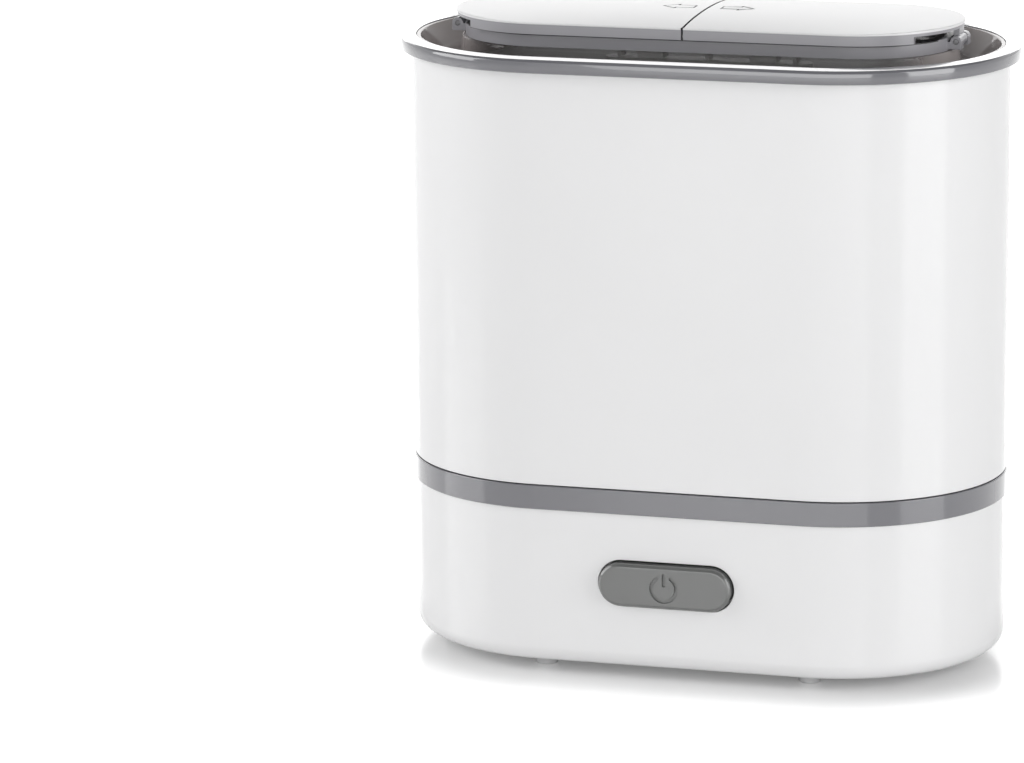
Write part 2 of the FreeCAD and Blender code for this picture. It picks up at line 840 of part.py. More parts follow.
def rim_of_crown(edge):
    """Whether an edge lies where the crowned top meets the cap's upright side."""
    return edge.BoundBox.ZMin > skirt_top + edge_margin


def make_flap_cap(end):
    hub = Vector(-flap_length, 0, crown_top - crown_radius)
    form = Part.makeCylinder(crown_radius, 2 * flap_length, hub, Vector(1, 0, 0))
    crown = flap_oval(cap_overhang, skirt_top, crown_top + overrun).common(form)
    crown = crown.makeFillet(crown_edge_radius, [edge for edge in crown.Edges if rim_of_crown(edge)])
    return crown.common(half_room(end, skirt_top - overrun, crown_top + overrun))


def make_flaps():
    for name, end in (("left_flap", -1), ("right_flap", 1)):
        save(name + "_skirt", make_flap_skirt(end))
        save(name + "_cap", make_flap_cap(end))


# Bottle rack: a perforated plate with six bottle wells, lifted by a handle on two posts
def well_spots():
    """Centres of the six wells: one pair in the middle and one pair in each round end."""
    middle_y = well_row_gap / 2 + well_outer
    ring = rack_half_width - well_end_gap - well_outer
    angle = math.radians(well_end_angle)
    ends = four_corners(end_centre + ring * math.cos(angle), ring * math.sin(angle))
    return [(0, -middle_y), (0, middle_y)] + ends


def make_rack_base():
    plate = body_oval(-tub_wall - rack_clearance, rack_low, rack_top)
    pieces = [plate]
    for x, y in well_spots():
        pieces.append(rod_z(well_outer, x, y, rack_top - overrun, rack_top + well_height))
    socket_radius = post_radius + socket_wall
    socket_top = rack_top + socket_height
    for side in (-1, 1):
        pieces.append(rod_z(socket_radius, side * post_place, 0, rack_top - overrun, socket_top))
    rack = joined(pieces)
    for x, y in well_spots():
        rack = rack.cut(rod_z(well_radius, x, y, rack_top, rack_top + well_height + overrun))
        drains = [(x, y)]
        for step in range(drain_count):
            angle = 2 * math.pi * step / drain_count
            drains.append((x + drain_ring * math.cos(angle), y + drain_ring * math.sin(angle)))
        for drain_x, drain_y in drains:
            rack = rack.cut(rod_z(drain_radius, drain_x, drain_y, rack_low - overrun, rack_top + overrun))
    bore_top = socket_top + overrun
    for side in (-1, 1):
        rack = rack.cut(rod_z(post_radius + tight_fit, side * post_place, 0, rack_top, bore_top))
    save("rack_base", rack)


def make_rack_posts():
    high = handle_top - handle_height / 2
    save("rack_posts", [rod_z(post_radius, side * post_place, 0, rack_top, high) for side in (-1, 1)])


def make_rack_handle():
    low = handle_top - handle_height
    bar = oval(2 * (post_place + handle_end), handle_width, low, handle_top)
    bar = bar.makeFillet(handle_edge_radius, level_edges(bar, low))
    fin_range = (handle_top - overrun, handle_top + fin_height)
    fin_width = handle_width - 2 * fin_inset
    places = (-post_place, 0, post_place)
    fins = [box(span(x, fin_thickness), span(0, fin_width), fin_range) for x in places]
    bar = joined([bar] + fins)
    for side in (-1, 1):
        socket_top = handle_top - handle_height / 2
        bar = bar.cut(rod_z(post_radius + tight_fit, side * post_place, 0, low - overrun, socket_top))
    save("rack_handle", bar)


def make_handle_grips():
    grips = []
    grip_top = handle_top + grip_height
    for side in (-1, 1):
        width = handle_width - 2 * grip_inset
        grip = box(outward(side, grip_low, grip_high), span(0, width), (handle_top, grip_top))
        grips.append(grip.makeFillet(grip_edge_radius, level_edges(grip, grip_top)))
    save("handle_grips", grips)


make_base_housing()
make_base_band()
make_bottom_cover()
make_feet()
make_cover_screws()
make_heating_plate()
make_plate_gasket()
make_heating_element()
make_thermostat()
make_thermal_fuse()
make_control_board()
make_board_screws()
make_power_switch()
make_relay()
make_power_button()
make_switch_actuator()
make_mains_inlet()
make_inlet_contacts()
make_inlet_leads()
make_element_leads()
make_tub()
make_lid_rim()
make_lid_tray()
make_lid_seal()
make_lid_collar()
make_hinge_pins()
make_flaps()
make_rack_base()
make_rack_posts()
make_rack_handle()
make_handle_grips()
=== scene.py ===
import json
import math

import bmesh
import bpy
from mathutils import Matrix, Vector

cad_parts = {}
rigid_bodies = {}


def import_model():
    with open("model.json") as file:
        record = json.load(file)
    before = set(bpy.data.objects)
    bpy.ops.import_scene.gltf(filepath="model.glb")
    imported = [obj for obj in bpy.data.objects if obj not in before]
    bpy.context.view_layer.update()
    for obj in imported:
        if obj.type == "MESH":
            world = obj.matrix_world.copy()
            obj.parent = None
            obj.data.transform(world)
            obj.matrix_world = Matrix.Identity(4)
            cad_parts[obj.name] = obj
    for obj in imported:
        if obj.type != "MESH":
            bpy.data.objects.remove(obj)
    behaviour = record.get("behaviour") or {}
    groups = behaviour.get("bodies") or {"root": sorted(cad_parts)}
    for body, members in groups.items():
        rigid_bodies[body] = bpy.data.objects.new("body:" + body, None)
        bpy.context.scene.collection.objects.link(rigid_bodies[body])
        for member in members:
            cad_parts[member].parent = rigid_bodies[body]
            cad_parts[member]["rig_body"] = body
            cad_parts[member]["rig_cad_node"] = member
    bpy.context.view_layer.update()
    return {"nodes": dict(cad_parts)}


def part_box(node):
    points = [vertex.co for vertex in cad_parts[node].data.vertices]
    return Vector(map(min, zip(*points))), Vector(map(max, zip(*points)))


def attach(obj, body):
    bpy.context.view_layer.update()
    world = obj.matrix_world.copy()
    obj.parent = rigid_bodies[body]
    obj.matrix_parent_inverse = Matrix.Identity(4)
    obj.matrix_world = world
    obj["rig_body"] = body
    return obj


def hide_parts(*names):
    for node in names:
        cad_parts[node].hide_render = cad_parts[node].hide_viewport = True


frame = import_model()

# Studio: a glossy white table top with broad soft lights at the left, at the right, in front, overhead
# and behind, and a camera a little above the sterilizer and to the right of its front. The table reads
# as plain white wherever no shadow falls on it.
aim_point = Vector((-0.07284, -0.02198, 0.104))
view_distance = 2.0961
view_turn = 0.293
view_tilt = 0.221
view_roll = math.radians(-0.452)
view_lens = 190.609
air_light = 0.28
white_light = 1.0
ceiling_light = 0.2
wall_dimming = 0.13
ceiling_start = 0.38
ceiling_end = 0.62
table_size = 12.0
table_colour = (0.9, 0.9, 0.9, 1.0)
table_roughness = 0.2
table_lift_near = 0.12
table_lift_far = 1.0
table_mirrored = 0.55
shadow_start = 0.064
shadow_end = 0.125
base_end_centre = 0.0514


class Signal:
    """A number, colour or vector in a material, held as the socket that gives it."""

    def __init__(self, socket):
        self.socket = socket
        self.tree = socket.id_data

    def node(self, kind, settings=None, inputs=None, output=0):
        """Add any node: its settings come first, then a value or a link for each of its sockets."""
        made = self.tree.nodes.new("ShaderNode" + kind)
        for key, setting in (settings or {}).items():
            setattr(made, key, setting)
        for key, given in (inputs or {}).items():
            if isinstance(given, Signal):
                self.tree.links.new(given.socket, made.inputs[key])
            else:
                made.inputs[key].default_value = given
        return Signal(made.outputs[output])

    def maths(self, operation, first, second=0.0):
        return self.node("Math", {"operation": operation}, {0: first, 1: second})

    def __add__(self, other):
        return self.maths("ADD", self, other)

    def __radd__(self, other):
        return self.maths("ADD", other, self)

    def __sub__(self, other):
        return self.maths("SUBTRACT", self, other)

    def __rsub__(self, other):
        return self.maths("SUBTRACT", other, self)

    def __mul__(self, other):
        return self.maths("MULTIPLY", self, other)

    def __rmul__(self, other):
        return self.maths("MULTIPLY", other, self)

    def most(self, other):
        """The larger of two numbers."""
        return self.maths("MAXIMUM", self, other)

    def ramp(self, start, end):
        """0 below start, 1 above end, and a soft rise between."""
        inputs = {"Value": self, "From Min": start, "From Max": end}
        return self.node("MapRange", {"interpolation_type": "SMOOTHSTEP"}, inputs)

    def blend(self, low, high):
        """A colour between two, by this number from 0 to 1."""
        first, second = [given if isinstance(given, Signal) else (*given, 1.0) for given in (low, high)]
        return self.node("Mix", {"data_type": "RGBA"}, {0: self, 6: first, 7: second}, output=2)

    def size(self):
        """This number without its sign."""
        return self.node("Math", {"operation": "ABSOLUTE"}, {0: self})

    def part(self, axis):
        """One component of a vector."""
        return self.node("SeparateXYZ", None, {0: self}, output=axis)

    def into(self, socket):
        self.tree.links.new(self.socket, socket)


def seen_directly(tree, mirrored=1.0):
    """1 for what the camera sees itself or through clear plastic, mirrored in a reflection, else 0."""
    sockets = tree.nodes.new("ShaderNodeLightPath").outputs
    direct = Signal(sockets["Is Camera Ray"])
    reflected = Signal(sockets["Is Glossy Ray"])
    passed = Signal(sockets["Is Transmission Ray"])
    return direct.most(reflected * mirrored).most(passed)


def studio_world():
    """White air, which reflections see a little darker at the sides and much darker overhead."""
    world = bpy.data.worlds.new("studio_air")
    bpy.context.scene.world = world
    world.use_nodes = True
    background = world.node_tree.nodes["Background"]
    background.inputs["Color"].default_value = (1.0, 1.0, 1.0, 1.0)
    nodes = world.node_tree.nodes
    rise = Signal(nodes.new("ShaderNodeTexCoord").outputs["Generated"]).part(2)
    reflected = Signal(nodes.new("ShaderNodeLightPath").outputs["Is Glossy Ray"])
    ceiling_dimming = white_light - ceiling_light - wall_dimming
    dimming = reflected * (rise.ramp(ceiling_start, ceiling_end) * ceiling_dimming + wall_dimming)
    strength = seen_directly(world.node_tree) * (white_light - air_light) + air_light - dimming
    strength.into(background.inputs["Strength"])


def studio_table():
    """The table, whose own light lifts it to white away from the base and keeps the shadow near it."""
    bpy.ops.object.select_all(action="DESELECT")
    bpy.ops.mesh.primitive_plane_add(size=table_size)
    table = bpy.context.object
    table.name = "table_top"
    lacquer = bpy.data.materials.new("white_table")
    lacquer.use_nodes = True
    tree = lacquer.node_tree
    shader = tree.nodes["Principled BSDF"]
    shader.inputs["Base Color"].default_value = table_colour
    shader.inputs["Roughness"].default_value = table_roughness
    shader.inputs["Emission Color"].default_value = (1.0, 1.0, 1.0, 1.0)
    place = Signal(tree.nodes.new("ShaderNodeTexCoord").outputs["Object"])
    beyond = (place.part(0).size() - base_end_centre).most(0.0)
    apart = place.node("CombineXYZ", None, {0: beyond, 1: place.part(1), 2: 0.0})
    distance = apart.node("VectorMath", {"operation": "LENGTH"}, {0: apart}, output=1)
    far = distance.ramp(shadow_start, shadow_end)
    lift = far * (table_lift_far - table_lift_near) + table_lift_near
    (seen_directly(tree, table_mirrored) * lift).into(shader.inputs["Emission Strength"])
    table.data.materials.append(lacquer)


def soft_light(name, place, aim, width, height, power):
    """A broad lamp at a place, turned to the aim, with its sides in metres and its power in watts."""
    bpy.ops.object.select_all(action="DESELECT")
    bpy.ops.object.light_add(type="AREA", location=place)
    lamp = bpy.context.object
    lamp.name = name
    lamp.data.shape = "RECTANGLE"
    lamp.data.size = width
    lamp.data.size_y = height
    lamp.data.energy = power
    lamp.rotation_euler = (Vector(aim) - Vector(place)).to_track_quat("-Z", "Y").to_euler()


def photo_camera():
    """The camera at the photograph's angle, looking at the aim point from the view distance."""
    turn_cos = math.cos(view_turn)
    turn_sin = math.sin(view_turn)
    tilt_cos = math.cos(view_tilt)
    tilt_sin = math.sin(view_tilt)
    ahead = Vector((-turn_sin * tilt_cos, turn_cos * tilt_cos, -tilt_sin))
    level_right = Vector((turn_cos, turn_sin, 0.0))
    level_up = level_right.cross(ahead)
    right = level_right * math.cos(view_roll) + level_up * math.sin(view_roll)
    up = right.cross(ahead)
    camera = bpy.data.objects.new("studio_camera", bpy.data.cameras.new("studio_camera"))
    bpy.context.scene.collection.objects.link(camera)
    turned = Matrix((right, up, -ahead)).transposed()
    camera.matrix_world = Matrix.Translation(aim_point - view_distance * ahead) @ turned.to_4x4()
    camera.data.sensor_width = 36.0
    camera.data.lens = view_lens
    camera.data.clip_start = 0.1
    camera.data.clip_end = 20.0
    bpy.context.scene.camera = camera


bpy.context.scene.view_settings.view_transform = "Standard"
studio_world()
studio_table()
middle = (0.0, 0.0, 0.12)
soft_light("left_softbox", (-1.6, -0.5, 0.8), middle, 1.2, 1.2, 15.5)
soft_light("right_softbox", (1.6, -0.5, 0.6), middle, 1.0, 1.2, 13.5)
soft_light("front_softbox", (0.3, -1.9, 0.4), middle, 1.8, 0.7, 11.5)
soft_light("top_softbox", (0.0, -0.1, 1.7), middle, 1.4, 1.2, 0.6)
soft_light("back_softbox", (-0.5, 1.6, 0.62), middle, 2.0, 0.72, 6.8)
photo_camera()


# Base housing: the white lower shell that holds the electrics. It is injection moulded in glossy
# white plastic, open underneath, with a round mouth in its deck for the heating plate and an oval
# hole in front for the power button.
shell_edge = 0.0003
white_colour = (0.8, 0.8, 0.805)
merge_distance = 0.000002
flat_angle = 0.2
hard_angle = 32.0
smooth_angle = 35.0


def material(name, colour, roughness, metallic=0.0):
    """A principled material, with its shader and the place on the object that patterns read."""
    made = bpy.data.materials.new(name)
    made.use_nodes = True
    tree = made.node_tree
    shader = tree.nodes["Principled BSDF"]
    shader.inputs["Base Color"].default_value = (*colour, 1.0)
    shader.inputs["Roughness"].default_value = roughness
    shader.inputs["Metallic"].default_value = metallic
    place = Signal(tree.nodes.new("ShaderNodeTexCoord").outputs["Object"])
    return made, shader, place


def noise(place, scale, detail=2.0):
    """Cloudy pattern from 0 to 1, with about scale clouds to a metre."""
    return place.node("TexNoise", None, {"Vector": place, "Scale": scale, "Detail": detail})


def bumped(height, depth, under=None):
    """Surface direction bent by a height pattern, depth being the real height in metres."""
    inputs = {"Height": height, "Distance": depth, "Strength": 1.0}
    if under:
        inputs["Normal"] = under
    return height.node("Bump", None, inputs)


def moulded_plastic(name, colour, roughness, grain=0.02, wave=0.00002, pits=0.000001, polish=0.0):
    """Injection moulded plastic: slow shrink waves, a fine grain and a faint change of shade."""
    made, shader, place = material(name, colour, roughness)
    shader.inputs["Coat Weight"].default_value = polish
    deeper = tuple(0.975 * channel for channel in colour)
    noise(place, 18.0, 3.0).blend(deeper, colour).into(shader.inputs["Base Color"])
    fine = noise(place, 900.0, 4.0)
    (fine * grain + (roughness - grain / 2)).into(shader.inputs["Roughness"])
    waves = bumped(noise(place, 25.0, 1.0), wave)
    bumped(fine, pits, waves).into(shader.inputs["Normal"])
    return made


def finish(piece, look, body, slot, *stands_for):
    """Give a finished piece its material, the body that it moves with and the CAD nodes it stands for."""
    piece.data.materials.clear()
    piece.data.materials.append(look)
    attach(piece, body)
    if stands_for:
        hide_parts(*stands_for)


def take_up(piece):
    """Make a piece the only one selected and the active one."""
    bpy.ops.object.select_all(action="DESELECT")
    bpy.context.view_layer.objects.active = piece
    piece.select_set(True)


def apply_modifier(piece, kind, **settings):
    """Add a modifier with its settings and apply it."""
    take_up(piece)
    modifier = piece.modifiers.new("step", kind)
    for key, setting in settings.items():
        setattr(modifier, key, setting)
    bpy.ops.object.modifier_apply(modifier="step")


def shade(piece, smooth=smooth_angle):
    """Shade rounded stretches as smooth and keep flat faces flat."""
    take_up(piece)
    bpy.ops.object.shade_smooth_by_angle(angle=math.radians(smooth))
    apply_modifier(piece, "WEIGHTED_NORMAL", keep_sharp=True, weight=100)


def rounded_copy(node, name, edge):
    """A copy of a CAD node with its loose triangles merged and its hard edges rounded off."""
    piece = frame["nodes"][node].copy()
    piece.data = piece.data.copy()
    piece.name = name
    del piece["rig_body"]
    del piece["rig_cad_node"]
    piece.parent = None
    bpy.context.scene.collection.objects.link(piece)
    take_up(piece)
    bpy.ops.object.mode_set(mode="EDIT")
    bpy.ops.mesh.customdata_custom_splitnormals_clear()
    bpy.ops.mesh.select_all(action="SELECT")
    bpy.ops.mesh.remove_doubles(threshold=merge_distance)
    bpy.ops.mesh.dissolve_limited(angle_limit=math.radians(flat_angle))
    bpy.ops.object.mode_set(mode="OBJECT")
    limit = math.radians(hard_angle)
    apply_modifier(piece, "BEVEL", width=edge, segments=2, limit_method="ANGLE", angle_limit=limit)
    shade(piece)
    return piece


white_plastic = moulded_plastic("glossy_white_plastic", white_colour, 0.14)
base_shell = rounded_copy("base_housing", "base_shell", shell_edge)
finish(base_shell, white_plastic, "base", "white_shell", "base_housing")


# Bottom cover: the plate let into the underside, with vent slots and sunk screw holes. It is moulded
# in white plastic with a fine spark-eroded grain.
grained_white = moulded_plastic("grained_white_plastic", (0.7, 0.7, 0.705), 0.5, 0.12, 0.00001, 0.000012)
cover = rounded_copy("bottom_cover", "underside_cover", 0.0003)
finish(cover, grained_white, "base", "cover_plastic", "bottom_cover")


# Feet: four soft pale pads pressed into cups in the bottom cover. Each is a turned rubber moulding
# with a chamfered foot and two fine rings that grip the table.
foot_low, foot_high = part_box("rubber_feet")
foot_radius = 0.0043
foot_chamfer = 0.0006
foot_smooth_angle = 30.0
level_margin = 1e-6
ring_distance = 0.0007
ring_width = 0.0005
ring_slope = 0.00012
ring_depth = 0.00025


def soft_rubber():
    made, shader, place = material("pale_rubber", (0.55, 0.55, 0.56), 0.55)
    dust = noise(place, 300.0, 4.0)
    dust.blend((0.5, 0.5, 0.51), (0.62, 0.62, 0.62)).into(shader.inputs["Base Color"])
    (dust * 0.25 + 0.42).into(shader.inputs["Roughness"])
    bumped(noise(place, 2500.0, 3.0), 0.000012).into(shader.inputs["Normal"])
    return made


def choose(piece, kind, test):
    """Select, in edit mode, the vertices, edges or faces of a piece that pass a test."""
    bpy.ops.mesh.select_mode(type=kind)
    bpy.ops.mesh.select_all(action="DESELECT")
    mesh = bmesh.from_edit_mesh(piece.data)
    for item in {"VERT": mesh.verts, "EDGE": mesh.edges, "FACE": mesh.faces}[kind]:
        if test(item):
            item.select = True
    mesh.select_flush_mode()
    bmesh.update_edit_mesh(piece.data)


def level(item, axis, place):
    """Whether all corners of an edge or face lie in one plane square to an axis."""
    return all(abs(vertex.co[axis] - place) < level_margin for vertex in item.verts)


def tidy(piece, smooth=smooth_angle):
    """Merge what meets, turn the faces outwards and shade the piece."""
    bpy.ops.mesh.select_mode(type="VERT")
    bpy.ops.mesh.select_all(action="SELECT")
    bpy.ops.mesh.remove_doubles(threshold=merge_distance)
    bpy.ops.mesh.normals_make_consistent(inside=False)
    bpy.ops.object.mode_set(mode="OBJECT")
    shade(piece, smooth)
    return piece


def rubber_foot(x, y):
    """One pad standing on the table, with two rings sunk in its lower face."""
    height = foot_high.z - foot_low.z
    bpy.ops.object.select_all(action="DESELECT")
    bpy.ops.mesh.primitive_cylinder_add(
        vertices=48, radius=foot_radius, depth=height, location=(x, y, height / 2)
    )
    foot = bpy.context.object
    foot.name = "foot_pad"
    bpy.ops.object.transform_apply(location=True, rotation=True, scale=True)
    bpy.ops.object.mode_set(mode="EDIT")
    choose(foot, "EDGE", lambda edge: level(edge, 2, 0.0))
    bpy.ops.mesh.bevel(offset=foot_chamfer, segments=3, affect="EDGES")
    for number in range(2):
        choose(foot, "FACE", lambda face: level(face, 2, 0.0) and len(face.verts) > 4)
        bpy.ops.mesh.inset(thickness=ring_distance)
        bpy.ops.mesh.inset(thickness=ring_slope, depth=-ring_depth)
        bpy.ops.mesh.inset(thickness=ring_width)
        bpy.ops.mesh.inset(thickness=ring_slope, depth=ring_depth)
    return tidy(foot, foot_smooth_angle)


def join(pieces, name):
    """One object of several separate shells."""
    take_up(pieces[0])
    for piece in pieces[1:]:
        piece.select_set(True)
    bpy.ops.object.join()
    pieces[0].name = name
    return pieces[0]


foot_x = foot_high.x - foot_radius
foot_y = foot_high.y - foot_radius
feet = [rubber_foot(side * foot_x, end * foot_y) for side in (-1, 1) for end in (-1, 1)]
finish(join(feet, "foot_pads"), soft_rubber(), "base", "foot_rubber", "rubber_feet")


# Screws: four long ones hold the bottom cover and four short ones the control board. They are plated
# steel, with rounded heads and a light brushing round the head.
def plated_steel(name, pale, dark):
    made, shader, place = material(name, pale, 0.3, 1.0)
    rub = noise(place, 1500.0, 3.0)
    rub.blend(dark, pale).into(shader.inputs["Base Color"])
    (rub * 0.2 + 0.22).into(shader.inputs["Roughness"])
    bumped(rub, 0.000004).into(shader.inputs["Normal"])
    return made


steel = plated_steel("plated_steel", (0.62, 0.61, 0.59), (0.48, 0.47, 0.46))
cover_screws = rounded_copy("cover_screws", "long_screws", 0.00012)
finish(cover_screws, steel, "base", "screw_steel", "cover_screws")
board_screws = rounded_copy("board_screws", "short_screws", 0.00012)
finish(board_screws, steel, "base", "screw_steel", "board_screws")


# Heating plate: a round dish pressed from stainless steel, brushed in rings and polished by boiling
# water. Its flange lies on a silicone ring on the deck of the base.
plate_low, plate_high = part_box("heating_plate")
plate_radius = plate_high.x
flange_width = 0.008
dish_radius = plate_radius - flange_width
plate_wall = 0.0012
plate_flange_low = plate_high.z - plate_wall
dish_floor = plate_low.z + plate_wall
dish_round = 0.004
turn_steps = 64
corner_margin = 1e-7


def brushed_dish():
    made, shader, place = material("brushed_stainless_steel", (0.6, 0.59, 0.57), 0.25, 1.0)
    across = place.node("VectorMath", {"operation": "MULTIPLY"}, {0: place, 1: (1.0, 1.0, 0.0)})
    radius = across.node("VectorMath", {"operation": "LENGTH"}, {0: across}, output=1)
    ring_place = radius.node("CombineXYZ", None, {0: radius * 40.0, 1: 0.0, 2: 0.0})
    rings = noise(ring_place, 60.0, 4.0)
    stains = noise(place, 45.0, 4.0)
    tone = rings * 0.5 + stains * 0.5
    tone.blend((0.5, 0.49, 0.47), (0.68, 0.67, 0.65)).into(shader.inputs["Base Color"])
    (rings * 0.14 + stains * 0.12 + 0.12).into(shader.inputs["Roughness"])
    bumped(rings, 0.000005).into(shader.inputs["Normal"])
    return made


def outline(name, places):
    """A flat face through places in space, left open for editing."""
    bpy.ops.object.select_all(action="DESELECT")
    bpy.ops.mesh.primitive_circle_add(vertices=len(places), fill_type="NGON")
    piece = bpy.context.object
    piece.name = name
    for vertex, place in zip(piece.data.vertices, places):
        vertex.co = place
    bpy.ops.object.mode_set(mode="EDIT")
    bpy.ops.mesh.select_all(action="SELECT")
    return piece


def section(name, wall, corners, steps=4):
    """A bare outline standing at x = 0, of corners (distance outside the wall, height, rounding)."""
    places = [Vector((0.0, -wall - out, height)) for out, height, rounding in corners]
    piece = outline(name, places)
    for place, (out, height, rounding) in zip(places, corners):
        if rounding > 0.0:
            choose(piece, "VERT", lambda vertex: (vertex.co - place).length < corner_margin)
            bpy.ops.mesh.bevel(offset=rounding, segments=steps, affect="VERTICES")
    bpy.ops.mesh.select_all(action="SELECT")
    bpy.ops.mesh.delete(type="ONLY_FACE")
    bpy.ops.mesh.select_all(action="SELECT")
    return piece


def turned_ring(name, corners, steps=4):
    """A ring turned about the upright middle axis, of corners (radius, height, rounding)."""
    piece = section(name, 0.0, corners, steps)
    bpy.ops.mesh.spin(steps=2 * turn_steps, angle=-2 * math.pi, center=(0, 0, 0), axis=(0, 0, 1))
    return tidy(piece)


dish = turned_ring("steel_dish", [
    (plate_radius, plate_flange_low, 0.0003),
    (plate_radius, plate_high.z, 0.0005),
    (dish_radius, plate_high.z, 0.001),
    (dish_radius, dish_floor, dish_round),
    (0.0, dish_floor, 0.0),
    (0.0, plate_low.z, 0.0),
    (dish_radius + plate_wall, plate_low.z, dish_round + plate_wall),
    (dish_radius + plate_wall, plate_flange_low, 0.0003),
], steps=8)
finish(dish, brushed_dish(), "base", "stainless_steel", "heating_plate")


# Gasket: a flat silicone ring, slightly see-through and dull, between the dish's flange and the deck.
gasket_low, gasket_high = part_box("plate_gasket")
gasket_play = 0.0011
gasket_inner = dish_radius + plate_wall + gasket_play
gasket_edge = 0.0003


def milky_silicone():
    made, shader, place = material("milky_silicone", (0.62, 0.62, 0.62), 0.45)
    cloud = noise(place, 120.0, 3.0)
    cloud.blend((0.55, 0.55, 0.56), (0.66, 0.66, 0.66)).into(shader.inputs["Base Color"])
    (cloud * 0.15 + 0.38).into(shader.inputs["Roughness"])
    bumped(noise(place, 1800.0, 2.0), 0.000005).into(shader.inputs["Normal"])
    return made


silicone = milky_silicone()
gasket = turned_ring("dish_gasket", [
    (gasket_high.x, gasket_low.z, gasket_edge),
    (gasket_high.x, gasket_high.z, gasket_edge),
    (gasket_inner, gasket_high.z, gasket_edge),
    (gasket_inner, gasket_low.z, gasket_edge),
])
finish(gasket, silicone, "base", "silicone", "plate_gasket")


# Heating element: a sheathed rod bent to a loop and clamped under the dish. Its sheath is dull metal,
# tinted brown by heat, and its two ends are turned down to take the leads.
def heated_sheath():
    made, shader, place = material("heated_sheath", (0.3, 0.28, 0.26), 0.45, 1.0)
    tint = noise(place, 60.0, 3.0)
    tint.blend((0.36, 0.35, 0.34), (0.24, 0.19, 0.14)).into(shader.inputs["Base Color"])
    (tint * 0.25 + 0.35).into(shader.inputs["Roughness"])
    bumped(noise(place, 2000.0, 3.0), 0.00001).into(shader.inputs["Normal"])
    return made


element = rounded_copy("heating_element", "sheathed_element", 0.0003)
finish(element, heated_sheath(), "base", "element_sheath", "heating_element")


# Thermostat and fuse: a small plated can with two blades that cuts the heat off when the dish is dry,
# and a wire-ended thermal fuse beside it. Both are held against the underside of the dish.
def plated_brass():
    made, shader, place = material("plated_brass", (0.62, 0.52, 0.3), 0.3, 1.0)
    dull = noise(place, 400.0, 4.0)
    dull.blend((0.66, 0.56, 0.34), (0.5, 0.42, 0.26)).into(shader.inputs["Base Color"])
    (dull * 0.2 + 0.22).into(shader.inputs["Roughness"])
    bumped(dull, 0.000004).into(shader.inputs["Normal"])
    return made


brass = plated_brass()
thermostat = rounded_copy("thermostat", "dry_cut_out", 0.0002)
finish(thermostat, brass, "base", "contact_metal", "thermostat")
fuse = rounded_copy("thermal_fuse", "wire_fuse", 0.0003)
finish(fuse, brass, "base", "contact_metal", "thermal_fuse")


# Control board: a green laminate that stands behind the front wall on four bosses. Copper tracks show
# through its lacquer, and its cut edge is bare.
def board_laminate():
    made, shader, place = material("green_laminate", (0.02, 0.12, 0.05), 0.35)
    grid = place.node("TexVoronoi", {"distance": "CHEBYCHEV"}, {"Vector": place, "Scale": 260.0})
    fine = place.node("TexBrick", None, {
        "Vector": place.node("VectorMath", {"operation": "MULTIPLY"}, {0: place, 1: (300.0, 0.0, 300.0)}),
        "Scale": 0.35,
        "Mortar Size": 0.03,
    }, output=1)
    tracks = fine.ramp(0.4, 0.6)
    lacquer = grid.ramp(0.2, 0.8).blend((0.012, 0.09, 0.035), (0.02, 0.14, 0.055))
    tracks.blend(lacquer, (0.04, 0.2, 0.08)).into(shader.inputs["Base Color"])
    (noise(place, 500.0, 2.0) * 0.1 + 0.28).into(shader.inputs["Roughness"])
    bumped(tracks, 0.00003).into(shader.inputs["Normal"])
    return made


board = rounded_copy("control_board", "circuit_board", 0.0001)
finish(board, board_laminate(), "base", "board_laminate", "control_board")


# Switch, relay, mains inlet and the button's stud: black technical mouldings with a fine matt grain.
# The switch and the relay are soldered to the board, and the inlet is clipped into the back wall.
black_plastic = moulded_plastic("matt_black_plastic", (0.022, 0.022, 0.024), 0.42, 0.14, 0.00001, 0.00001)
switch = rounded_copy("power_switch", "push_switch", 0.0003)
finish(switch, black_plastic, "base", "dark_plastic", "power_switch")
relay = rounded_copy("relay", "sealed_relay", 0.0003)
finish(relay, black_plastic, "base", "dark_plastic", "relay")
inlet = rounded_copy("mains_inlet", "inlet_socket", 0.0003)
finish(inlet, black_plastic, "base", "dark_plastic", "mains_inlet")
stud = rounded_copy("switch_actuator", "push_stud", 0.0003)
finish(stud, black_plastic, "button", "dark_plastic", "switch_actuator")


# Contacts and leads: two plated pins in the inlet, two leads from them to the board, and two from the
# board to the heating element. The leads are insulated in soft black plastic with push-on sleeves.
contacts = rounded_copy("inlet_contacts", "inlet_pins", 0.0002)
finish(contacts, brass, "base", "contact_metal", "inlet_contacts")
black_insulation = moulded_plastic("black_insulation", (0.03, 0.03, 0.032), 0.5, 0.1, 0.00002, 0.000008)
inlet_leads = rounded_copy("inlet_leads", "mains_leads", 0.0003)
finish(inlet_leads, black_insulation, "base", "lead_insulation", "inlet_leads")
element_leads = rounded_copy("element_leads", "heater_leads", 0.0003)
finish(element_leads, black_insulation, "base", "lead_insulation", "element_leads")


# Band: a glossy grey ring between the base and the tub. It is one moulding, with an upstand inside
# that the tub is set down over, and it stands half a millimetre proud of the tub.
tub_low, tub_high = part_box("tub")
body_wall = tub_high.y
body_end = tub_high.x - tub_high.y
band_low, band_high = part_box("base_band")
rest_gap = 0.0003
band_top = tub_low.z - rest_gap
band_proud = band_high.y - body_wall
band_thickness = 0.0065
band_edge = 0.0004
lip_inset = 0.0027
lip_edge = 0.0009
grey_colour = (0.14, 0.14, 0.155)


def straight(start, end, steps=1):
    """Draw the selected outline along X."""
    for number in range(steps):
        bpy.ops.mesh.extrude_region_move(TRANSFORM_OT_translate={"value": ((end - start) / steps, 0, 0)})


def half_turn(centre_x):
    """Carry the selected outline half way round an upright axis."""
    bpy.ops.mesh.spin(steps=turn_steps, angle=-math.pi, center=(centre_x, 0, 0), axis=(0, 0, 1))


